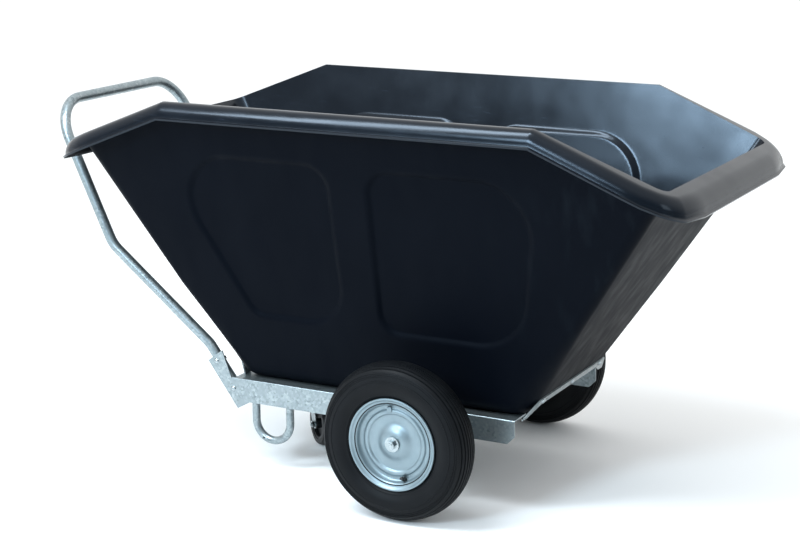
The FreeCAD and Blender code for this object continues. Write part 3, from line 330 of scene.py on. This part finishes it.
swell = add_node(tree, "Bump", {"Height": wave.outputs[0], "Strength": 0.25, "Distance": 0.004})
bump = add_node(tree, "Bump", {"Height": grain.outputs[0], "Strength": 0.05, "Distance": 0.0004,
                               "Normal": swell.outputs[0]})
wire(tree, shader, colour, rough, bump)

# The outside, which lay on the mould, is satin and almost black, with painted highlight streaks at its
# front.
satin, tree, shader = new_material(
    "thermoformed_polyethylene_satin", Specular_IOR_Level=0.04, Specular_Tint=cool
)
spot = add_node(tree, "TexCoord", {}).outputs["Object"]
cloud = add_node(tree, "TexNoise", {"Vector": spot, "Scale": 1 / 0.22, "Detail": 5.0})
stretched = add_node(tree, "Mapping", {"Vector": spot, "Scale": (1.0, 1.0, 0.22)})
streak = add_node(tree, "TexNoise", {"Vector": stretched.outputs[0], "Scale": 1 / 0.04, "Detail": 7.0})
wear_and_highlight_streaks = add_node(tree, "MapRange", {"Value": streak.outputs[0], "From Min": 0.52, "From Max": 0.80})
split = add_node(tree, "SeparateXYZ", {"Vector": spot})
ahead = add_node(tree, "MapRange", {"Value": split.outputs[0],
                                    "From Min": axle_x + 0.20, "From Max": axle_x + 0.55})
# painted highlight: vertical streaks, kept to the front end, lighten the colour where a reflection runs
# down the corners
painted_highlight_streaks = add_node(tree, "Math", {0: wear_and_highlight_streaks.outputs[0], 1: ahead.outputs[0]}, operation="MULTIPLY")
tone = mix_colours(tree, cloud.outputs[0], "020409", "05080f")
colour = mix_colours(tree, painted_highlight_streaks.outputs[0], tone, "11161b")
rough = add_node(tree, "MapRange", {"Value": streak.outputs[0], "From Min": 0.3, "From Max": 0.7,
                                    "To Min": 0.46, "To Max": 0.60})
wave = add_node(tree, "TexNoise", {"Vector": spot, "Scale": 1 / 0.13, "Detail": 1.0})
grain = add_node(tree, "TexNoise", {"Vector": spot, "Scale": 1 / 0.003, "Detail": 2.0})
swell = add_node(tree, "Bump", {"Height": wave.outputs[0], "Strength": 0.25, "Distance": 0.004})
bump = add_node(tree, "Bump", {"Height": grain.outputs[0], "Strength": 0.08, "Distance": 0.0004,
                               "Normal": swell.outputs[0]})
wire(tree, shader, colour, rough, bump)
tub.data.materials[0] = gloss
tub.data.materials[1] = satin
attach(tub, "chassis")
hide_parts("tub")

# Frame -------------------------------------------------------------------------------------------
# Two rails, a cross member, two straps, two foot loops and the push handle are cut, bent and welded
# or bolted from mild steel, then dipped in molten zinc: a pale blue-grey skin of small crystals.
galvanised, tree, shader = new_material("hot_dip_galvanised_steel", Metallic=0.85)
spot = add_node(tree, "TexCoord", {}).outputs["Object"]
crystal = add_node(tree, "TexVoronoi", {"Vector": spot, "Scale": 1 / 0.006})
cloud = add_node(tree, "TexNoise", {"Vector": spot, "Scale": 1 / 0.03, "Detail": 5.0})
blend = add_node(tree, "Mix", {0: 0.6, 2: crystal.outputs["Distance"], 3: cloud.outputs[0]})
facet = add_node(tree, "MapRange", {"Value": crystal.outputs["Color"], "To Min": 0.0, "To Max": 1.0})
tone = mix_colours(tree, facet.outputs[0], "646f73", "a9b2b4")
patch = add_node(tree, "MapRange", {"Value": cloud.outputs[0], "From Min": 0.35, "From Max": 0.65})
colour = mix_colours(tree, patch.outputs[0], tone, "8a9497")
rough = add_node(tree, "MapRange", {"Value": blend.outputs[0], "From Min": 0.2, "From Max": 0.7,
                                    "To Min": 0.26, "To Max": 0.44})
bump = add_node(tree, "Bump", {"Height": cloud.outputs[0], "Strength": 0.12, "Distance": 0.0008})
wire(tree, shader, colour, rough, bump)


def finish(material, *nodes):
    """Give CAD nodes, which keep their own shape, a material."""
    for name in nodes:
        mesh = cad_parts[name].data
        mesh.materials.clear()
        mesh.materials.append(material)


finish(galvanised, "rail_left", "rail_right", "castor_crossmember", "front_strap", "rear_strap",
       "foot_loop_left", "foot_loop_right", "handle")

# Fastenings --------------------------------------------------------------------------------------
# Bolts, nuts and washers, the axle with its spacers, and the castor's pressed fork are mild steel
# with a thin electroplated zinc skin: brighter and smoother than the frame, with a faint blue cast.
plated, tree, shader = new_material("electroplated_zinc_steel", Metallic=1.0)
spot = add_node(tree, "TexCoord", {}).outputs["Object"]
cloud = add_node(tree, "TexNoise", {"Vector": spot, "Scale": 1 / 0.02, "Detail": 4.0})
colour = mix_colours(tree, cloud.outputs[0], "7f898d", "bcc4c6")
rough = add_node(tree, "MapRange", {"Value": cloud.outputs[0], "To Min": 0.18, "To Max": 0.36})
bump = add_node(tree, "Bump", {"Height": cloud.outputs[0], "Strength": 0.10, "Distance": 0.0008})
wire(tree, shader, colour, rough, bump)
finish(plated, "handle_bolts", "handle_nuts", "strap_bolts", "strap_washers", "strap_nuts", "axle",
       "axle_spacers", "axle_washers", "axle_nuts", "castor_plate", "castor_plate_bolts",
       "castor_plate_nuts", "castor_kingpin", "castor_race", "castor_balls", "castor_fork",
       "castor_sleeve", "castor_axle_bolt", "castor_axle_nut", "hub_left", "hub_right")

# Main tyres --------------------------------------------------------------------------------------
# Each is a 400 mm air-filled tyre of moulded black rubber with ribs round its tread, and raised
# rings on its walls; the inner tube is inside. It is spun from its section about the axle.
wheel_low, wheel_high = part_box("tyre_right")
wheel_centre = (wheel_low + wheel_high) / 2
tread_radius = (wheel_high.z - wheel_low.z) / 2
shoulder_side, shoulder_drop = 0.040, 0.015
crown = (shoulder_side ** 2 + shoulder_drop ** 2) / (2 * shoulder_drop)
grooves = [-0.034, -0.0255, -0.017, -0.0085, 0.0, 0.0085, 0.017, 0.0255, 0.034]
groove_half, groove_depth, groove_lean = 0.0019, 0.0040, 0.0004
# from the rim's flange out over the wall to the shoulder: radius, and distance from the middle
wall_line = [
    (0.1174, 0.0329), (0.1200, 0.0352), (0.1230, 0.0374), (0.1245, 0.0392), (0.1268, 0.0396),
    (0.1285, 0.0404), (0.1340, 0.0433), (0.1390, 0.0456), (0.1440, 0.0472), (0.1500, 0.0481),
    (0.1560, 0.0480), (0.1600, 0.0475), (0.1606, 0.0483), (0.1630, 0.0480), (0.1636, 0.0468),
    (0.1690, 0.0455), (0.1720, 0.0446), (0.1725, 0.0455), (0.1742, 0.0450), (0.1747, 0.0438),
    (0.1762, 0.0433), (0.1767, 0.0442), (0.1784, 0.0436), (0.1789, 0.0424), (0.1804, 0.0418),
    (0.1809, 0.0427), (0.1826, 0.0419), (0.1831, 0.0407),
]
tyre_inside = [(0.1018, 0.0215), (0.1130, 0.0243), (0.1420, 0.0390), (0.1770, 0.0330), (0.1910, 0.0150)]
wheel_steps = 128


def draw_section(name, centre, out, points):
    """Draw a closed section point by point: radius upwards, and its other size outwards along Y."""
    piece = begin(name, bpy.ops.mesh.primitive_plane_add, size=0.01)
    bpy.ops.mesh.merge(type="CENTER")
    last = Vector((0, 0, 0))
    for index, (radius, across) in enumerate(points + points[:1]):
        spot = centre + Vector((0, out * across, radius))
        if index == 0:
            bpy.ops.transform.translate(value=spot)
        else:
            bpy.ops.mesh.extrude_vertices_move(TRANSFORM_OT_translate={"value": spot - last})
        last = spot
    bpy.ops.mesh.select_all(action="SELECT")
    bpy.ops.mesh.remove_doubles(threshold=0.00002)
    return piece


def spin_section(piece, centre, axis, steps):
    """Turn a section into a closed ring about an axis, its faces pointing outwards."""
    bpy.ops.mesh.select_all(action="SELECT")
    bpy.ops.mesh.spin(steps=steps, angle=math.tau, center=centre, axis=axis)
    bpy.ops.mesh.select_all(action="SELECT")
    bpy.ops.mesh.remove_doubles(threshold=0.00002)
    bpy.ops.mesh.normals_make_consistent(inside=False)
    bpy.ops.object.mode_set(mode="OBJECT")


def other_side(piece, name):
    """A copy of a right-hand piece on the left of the cart, with its own mesh."""
    bpy.ops.object.select_all(action="DESELECT")
    piece.select_set(True)
    bpy.context.view_layer.objects.active = piece
    bpy.ops.object.duplicate()
    twin = bpy.context.object
    twin.name = twin.data.name = name
    bpy.ops.object.mode_set(mode="EDIT")
    bpy.ops.mesh.select_all(action="SELECT")
    bpy.ops.transform.resize(value=(1, -1, 1), center_override=(0, 0, 0))
    bpy.ops.mesh.normals_make_consistent(inside=False)
    bpy.ops.object.mode_set(mode="OBJECT")
    return twin


def crown_radius(across):
    """The radius of the tread at a distance from its middle."""
    return tread_radius - crown + math.sqrt(crown ** 2 - across ** 2)


tread = []
for groove in reversed(grooves):
    low, high = groove - groove_half, groove + groove_half
    bottom = crown_radius(groove) - groove_depth
    tread += [(crown_radius(high), high), (bottom, high - groove_lean)]
    tread += [(bottom, low + groove_lean), (crown_radius(low), low)]
section = [(0.1018, 0.0329)] + wall_line + [(crown_radius(0.0385), 0.0385)] + tread
section += [(crown_radius(0.0385), -0.0385)] + [(radius, -across) for radius, across in reversed(wall_line)]
section += [(0.1018, -0.0329)] + [(radius, -across) for radius, across in tyre_inside]
section += [(radius, across) for radius, across in reversed(tyre_inside)]
tyre = draw_section("main_tyre_right", wheel_centre, -1, section)
spin_section(tyre, wheel_centre, (0, 1, 0), wheel_steps)
bpy.ops.object.shade_smooth_by_angle(angle=math.radians(32))

# Moulded tyre rubber: near black and matt, with a bloom of grey-brown dust in soft patches all over.
tyre_rubber, tree, shader = new_material("moulded_tyre_rubber", Specular_IOR_Level=0.14)
spot = add_node(tree, "TexCoord", {}).outputs["Object"]
cloud = add_node(tree, "TexNoise", {"Vector": spot, "Scale": 1 / 0.05, "Detail": 6.0})
grain = add_node(tree, "TexNoise", {"Vector": spot, "Scale": 1 / 0.0022, "Detail": 3.0})
dust = add_node(tree, "MapRange", {"Value": cloud.outputs[0], "From Min": 0.42, "From Max": 0.75})
colour = mix_colours(tree, dust.outputs[0], "030508", "090b0e")
rough = add_node(tree, "MapRange", {"Value": cloud.outputs[0], "To Min": 0.42, "To Max": 0.66})
bump = add_node(tree, "Bump", {"Height": grain.outputs[0], "Strength": 0.15, "Distance": 0.0004})
wire(tree, shader, colour, rough, bump)
tyre.data.materials.append(tyre_rubber)
for piece, side in ((tyre, "right"), (other_side(tyre, "main_tyre_left"), "left")):
    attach(piece, "wheel_" + side)
    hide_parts("tyre_" + side)

# Main rims ---------------------------------------------------------------------------------------
# Each wheel is two discs pressed from 2.5 mm steel sheet and welded back to back: a rolled flange
# for the tyre's bead, a dish with a raised ring, and a dome welded to the hub. It is silver lacquered.
rim_outside = [
    (0.1165, 0.0385), (0.1150, 0.0392), (0.1128, 0.0388), (0.1112, 0.0372), (0.1100, 0.0350),
    (0.1075, 0.0335), (0.1030, 0.0325), (0.0995, 0.0300), (0.0982, 0.0262), (0.0976, 0.0215),
    (0.0958, 0.0180), (0.0925, 0.0165), (0.0860, 0.0163), (0.0842, 0.0172), (0.0828, 0.0196),
    (0.0808, 0.0206), (0.0748, 0.0206), (0.0728, 0.0196), (0.0715, 0.0172), (0.0695, 0.0163),
    (0.0560, 0.0160), (0.0500, 0.0166), (0.0450, 0.0182), (0.0400, 0.0212), (0.0350, 0.0243),
    (0.0300, 0.0268), (0.0250, 0.0284), (0.0210, 0.0290), (0.0176, 0.0290),
]
rim_inside = [(0.0176, 0.0266), (0.0250, 0.0258), (0.0350, 0.0218), (0.0450, 0.0156), (0.0560, 0.0135),
              (0.0920, 0.0138), (0.0960, 0.0170), (0.0990, 0.0290), (0.1050, 0.0333), (0.1140, 0.0338),
              (0.1170, 0.0345), (0.1170, 0.0372)]
disc = draw_section("rim_face_right", wheel_centre, -1, rim_outside + rim_inside)
spin_section(disc, wheel_centre, (0, 1, 0), wheel_steps)

# a small raised tab pressed across the ring, opposite the valve
tab_angle, tab_radius = math.radians(99), 0.0835
begin("rim_tab", bpy.ops.mesh.primitive_cube_add, size=1)
bpy.ops.transform.resize(value=(0.013, 0.006, 0.014))
bpy.ops.mesh.bevel(offset=0.0014, segments=3, affect="EDGES")
bpy.ops.transform.rotate(value=tab_angle - math.pi / 2, orient_axis="Y", center_override=(0, 0, 0))
tab_side = 0.0195
tab_x, tab_z = tab_radius * math.cos(tab_angle), tab_radius * math.sin(tab_angle)
tab_place = wheel_centre + Vector((tab_x, -tab_side, tab_z))
bpy.ops.transform.translate(value=tab_place)
bpy.ops.object.mode_set(mode="OBJECT")
disc.select_set(True)
bpy.context.view_layer.objects.active = disc
bpy.ops.object.join()
bpy.ops.object.shade_smooth_by_angle(angle=math.radians(40))

# Silver lacquer over pressed steel: a bluish metallic flake with a soft broad shine.
lacquer, tree, shader = new_material("silver_lacquered_steel", Metallic=0.75, Coat_Weight=0.15)
spot = add_node(tree, "TexCoord", {}).outputs["Object"]
cloud = add_node(tree, "TexNoise", {"Vector": spot, "Scale": 1 / 0.03, "Detail": 3.0})
flake = add_node(tree, "TexNoise", {"Vector": spot, "Scale": 1 / 0.0015, "Detail": 2.0})
colour = mix_colours(tree, cloud.outputs[0], "73838a", "88979d")
rough = add_node(tree, "MapRange", {"Value": flake.outputs[0], "To Min": 0.36, "To Max": 0.50})
bump = add_node(tree, "Bump", {"Height": flake.outputs[0], "Strength": 0.06, "Distance": 0.0003})
wire(tree, shader, colour, rough, bump)
disc.data.materials.append(lacquer)
for piece, side in ((disc, "right"), (other_side(disc, "rim_face_left"), "left")):
    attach(piece, "wheel_" + side)
    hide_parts("rim_disc_" + side)
finish(lacquer, "rim_barrel_left", "rim_barrel_right")

# Small rubber and plastic parts ------------------------------------------------------------------
# The valves and inner tubes are black rubber, the flanged wheel bushes are natural nylon, and the
# castor has a black tyre on a black polypropylene core. All are moulded and keep a fine grain.
for name, dark, light, low, high, nodes in (
    ("moulded_black_rubber", "08090b", "111215", 0.45, 0.65,
     ("valve_left", "valve_right", "inner_tube_left", "inner_tube_right", "castor_tyre")),
    ("moulded_polypropylene", "0b0d0f", "14171a", 0.35, 0.5, ("castor_wheel_core",)),
    ("moulded_natural_nylon", "c9c5b8", "dcd8cc", 0.35, 0.5, ("wheel_bushes_left", "wheel_bushes_right")),
):
    moulded, tree, shader = new_material(name)
    spot = add_node(tree, "TexCoord", {}).outputs["Object"]
    cloud = add_node(tree, "TexNoise", {"Vector": spot, "Scale": 1 / 0.012, "Detail": 5.0})
    colour = mix_colours(tree, cloud.outputs[0], dark, light)
    rough = add_node(tree, "MapRange", {"Value": cloud.outputs[0], "To Min": low, "To Max": high})
    bump = add_node(tree, "Bump", {"Height": cloud.outputs[0], "Strength": 0.1, "Distance": 0.0004})
    wire(tree, shader, colour, rough, bump)
    finish(moulded, *nodes)

# Studio ------------------------------------------------------------------------------------------
# A plain pale floor, soft boxes over the cart, in front of it and beside it, and walls that are pale
# behind the cart and dimmer in front of it.
bpy.ops.object.select_all(action="DESELECT")
bpy.ops.mesh.primitive_plane_add(size=80)
studio_floor = bpy.context.object
studio_floor.name = "studio_floor"
paper, tree, shader = new_material("matt_white_paper", Roughness=0.9, Specular_IOR_Level=0.1)
shader.inputs["Base Color"].default_value = linear("fbfbfa")
studio_floor.data.materials.append(paper)

for name, place, target, width, height, power, colour in (
    ("over", (-0.85, -1.5, 3.2), (0.175, -0.44, 0.96), 0.7, 3.0, 150, (0.80, 0.91, 1.0)),
    ("front", (-1.0, -5.2, 3.0), (0.4, 0.4, 0.85), 1.3, 1.2, 190, (0.66, 0.85, 1.0)),
    ("beside", (4.6, -1.6, 2.6), (0.4, 0.0, 0.5), 1.4, 1.4, 15, (0.86, 0.95, 1.0)),
):
    bpy.ops.object.light_add(type="AREA", location=place)
    light = bpy.context.object
    light.name = "soft_box_" + name
    light.data.shape = "RECTANGLE"
    light.data.size = width
    light.data.size_y = height
    light.data.energy = power
    light.data.color = colour
    light.rotation_euler = (Vector(target) - Vector(place)).to_track_quat("-Z", "Y").to_euler()

world = bpy.data.worlds.new("pale_studio")
bpy.context.scene.world = world
world.use_nodes = True
tree = world.node_tree
ways = {0: add_node(tree, "TexCoord", {}).outputs["Generated"], 1: (-0.5, 0.7, 1.1)}
facing = add_node(tree, "VectorMath", ways, operation="DOT_PRODUCT")
deep = add_node(tree, "MapRange", {"Value": facing.outputs["Value"], "From Min": -0.35, "From Max": 0.45})
dim, pale = (0.36, 0.42, 0.48, 1.0), (1.2, 1.22, 1.23, 1.0)
glow = add_node(tree, "Mix", {0: deep.outputs[0], 6: dim, 7: pale}, data_type="RGBA")
tree.links.new(glow.outputs[2], tree.nodes["Background"].inputs["Color"])
bpy.context.scene.view_settings.view_transform = "Standard"
